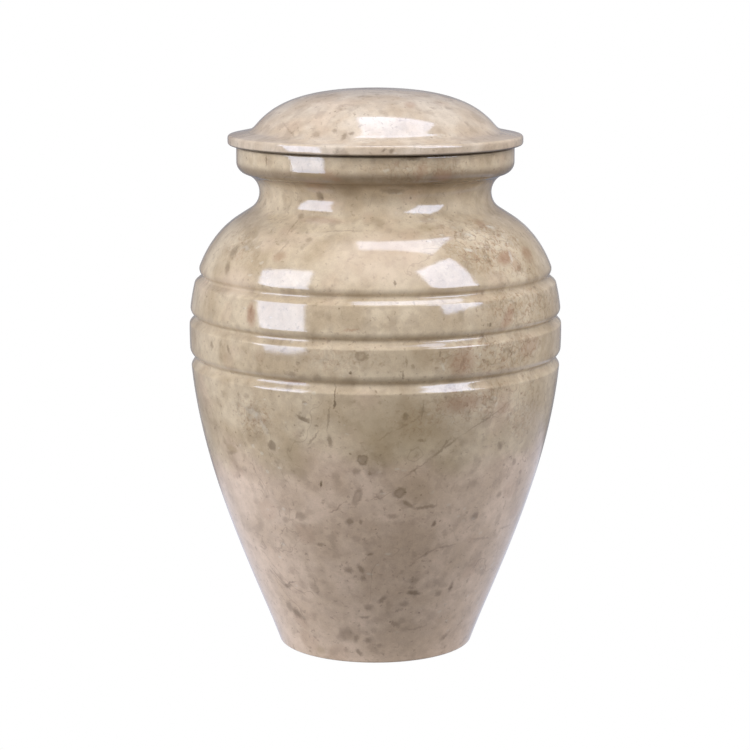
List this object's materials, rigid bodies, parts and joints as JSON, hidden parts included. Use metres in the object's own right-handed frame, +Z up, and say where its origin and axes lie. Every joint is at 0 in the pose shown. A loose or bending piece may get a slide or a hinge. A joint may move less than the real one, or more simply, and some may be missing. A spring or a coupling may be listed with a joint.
{
  "type": "urn",
  "caption": "Turned stone urn for ashes: a hollow, broad-shouldered vessel with ring grooves, a waisted neck and a collar, under a low domed lid that lifts off.",
  "frame": {"origin": "middle of the flat underside that the urn stands on", "axes": "+Z up along the axis that it was turned on; the picture's view looks along +Y, with +X to the right"},
  "size_m": [0.1846, 0.1846, 0.2776],
  "materials": {
    "vessel_stone": "polished beige fossil marble, warmer above the grooves and greyer pink below",
    "lid_stone": "polished beige fossil marble"
  },
  "bodies": {
    "root": {"vessel": "vessel_stone", "lid": "lid_stone"}
  },
  "joints": []
}
